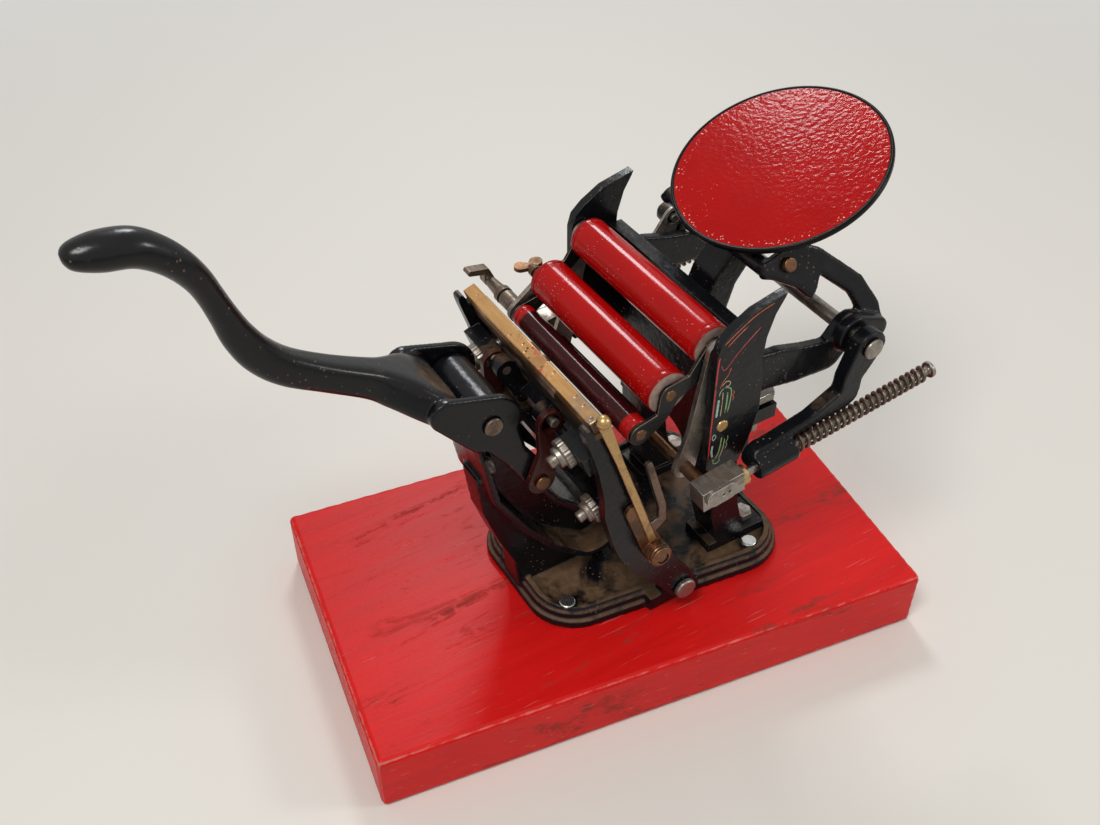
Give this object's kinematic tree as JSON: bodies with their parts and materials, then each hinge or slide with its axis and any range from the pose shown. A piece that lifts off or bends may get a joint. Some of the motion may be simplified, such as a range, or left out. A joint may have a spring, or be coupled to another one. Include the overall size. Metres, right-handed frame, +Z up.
{
  "type": "hand lever printing press",
  "caption": "Small lever printing press on a board: the lever closes a rocking platen on the bed while sprung hooks carry ink rollers up over a tilted round ink disc.",
  "frame": {"origin": "on the counter, under the middle of the wooden board's underside", "axes": "+X from the lever at the front to the ink disc at the back, +Y along the rollers towards the far side, +Z up"},
  "size_m": [0.4077, 0.2302, 0.3278],
  "materials": {
    "worn_paint": "red paint, worn through along the grain and at the edges",
    "japan": "black japanned iron, chipped and dusty",
    "red_paint": "glossy red paint with an orange-peel surface",
    "roller_red": "glossy red roller covering",
    "rider_dark": "dark red rubber",
    "steel": "old steel, dulled",
    "bright": "bright plated steel",
    "brass": "old brass with dark pits",
    "bronze": "dark bronze",
    "spring": "dark brown spring wire"
  },
  "bodies": {
    "frame": {"base_board": "worn_paint", "base_casting": "japan", "base_screws": "bright", "rocker_shaft": "steel", "lever_shaft": "steel", "column_ring": "japan", "bed_casting": "japan", "bed_bolts": "steel", "side_rails": "japan", "rail_screws": "brass", "side_brackets": "japan", "arm_shaft": "steel", "yoke_pins": "brass", "bed_clamp_screw": "steel", "disc_bracket": "japan", "disc_stud": "steel"},
    "lever": {"lever": "japan", "lever_pins": "brass"},
    "toggle": {"toggle_links": "japan"},
    "rocker": {"rocker_casting": "japan", "platen_plate": "steel", "impression_screws": "steel", "impression_nuts": "steel", "tympan_bar": "brass", "tympan_strip": "brass", "link_pins": "steel", "rod_pin": "steel"},
    "gripper": {"gripper_shaft": "bronze", "gripper_arm": "brass", "gripper_bale": "brass", "gripper_fingers": "steel"},
    "drive_rod": {"drive_rod": "steel"},
    "arms": {"roller_arms": "japan", "arm_crank_pin": "steel"},
    "hooks": {"hook_rods": "steel", "hook_springs": "spring", "hook_clevises": "brass", "hook_nuts": "brass", "lock_plates": "bright", "cross_shaft": "bronze", "roller_saddles": "steel", "upper_roller_core": "bronze", "wing_screw": "bronze", "thumb_latch": "bronze"},
    "roller_links": {"roller_hooks": "bright", "lower_roller_core": "bronze", "rider_core": "bronze"},
    "roller_upper": {"upper_roller": "roller_red"},
    "roller_lower": {"lower_roller": "roller_red"},
    "rider": {"rider_roller": "rider_dark"},
    "disc": {"ink_disc": "red_paint", "disc_ratchet": "steel"}
  },
  "joints": [
    {"name": "lever_swing", "type": "hinge", "parent": "frame", "child": "lever", "pos_m": [-0.078, 0, 0.187], "axis": [0, -1, 0], "range_deg": [0, 40]},
    {"name": "toggle_swing", "type": "hinge", "parent": "lever", "child": "toggle", "pos_m": [-0.054, 0, 0.142], "axis": [0, 1, 0], "range_deg": [0, 80]},
    {"name": "rocker_swing", "type": "hinge", "parent": "frame", "child": "rocker", "pos_m": [0.014, 0, 0.057], "axis": [0, 1, 0], "range_deg": [0, 20]},
    {"name": "gripper_swing", "type": "hinge", "parent": "rocker", "child": "gripper", "pos_m": [-0.01053, 0, 0.10394], "axis": [0, 1, 0], "range_deg": [-8, 0]},
    {"name": "drive_rod_swing", "type": "hinge", "parent": "rocker", "child": "drive_rod", "pos_m": [-0.01592, 0, 0.10996], "axis": [0, 1, 0], "range_deg": [-24, 0]},
    {"name": "arms_swing", "type": "hinge", "parent": "frame", "child": "arms", "pos_m": [0.106, 0, 0.193], "axis": [0, 1, 0], "range_deg": [0, 78]},
    {"name": "hooks_slide", "type": "slide", "parent": "arms", "child": "hooks", "axis": [-0.9914, 0, -0.1305], "range_m": [0, 0.004], "stiffness_N_per_m": 2500, "deforming": ["hook_springs"]},
    {"name": "roller_links_swing", "type": "hinge", "parent": "hooks", "child": "roller_links", "pos_m": [0.024, 0, 0.212], "axis": [0, 1, 0], "range_deg": [-64, 0]},
    {"name": "upper_roller_spin", "type": "hinge", "parent": "hooks", "child": "roller_upper", "pos_m": [0.024, 0, 0.212], "axis": [0, 1, 0], "continuous": true},
    {"name": "lower_roller_spin", "type": "hinge", "parent": "roller_links", "child": "roller_lower", "pos_m": [0, 0, 0.194], "axis": [0, 1, 0], "continuous": true},
    {"name": "rider_spin", "type": "hinge", "parent": "roller_links", "child": "rider", "pos_m": [-0.016, 0, 0.1765], "axis": [0, 1, 0], "continuous": true},
    {"name": "disc_spin", "type": "hinge", "parent": "frame", "child": "disc", "pos_m": [0.1, 0, 0.2588], "axis": [-0.3907, 0, 0.9205], "continuous": true}
  ],
  "couplings": [
    {"joint": "toggle_swing", "follows": "lever_swing", "ratio": 2},
    {"joint": "rocker_swing", "follows": "lever_swing", "ratio": 0.5},
    {"joint": "gripper_swing", "follows": "lever_swing", "ratio": -0.2},
    {"joint": "drive_rod_swing", "follows": "lever_swing", "ratio": -0.6},
    {"joint": "arms_swing", "follows": "lever_swing", "ratio": 1.95},
    {"joint": "roller_links_swing", "follows": "lever_swing", "ratio": -1.6}
  ]
}
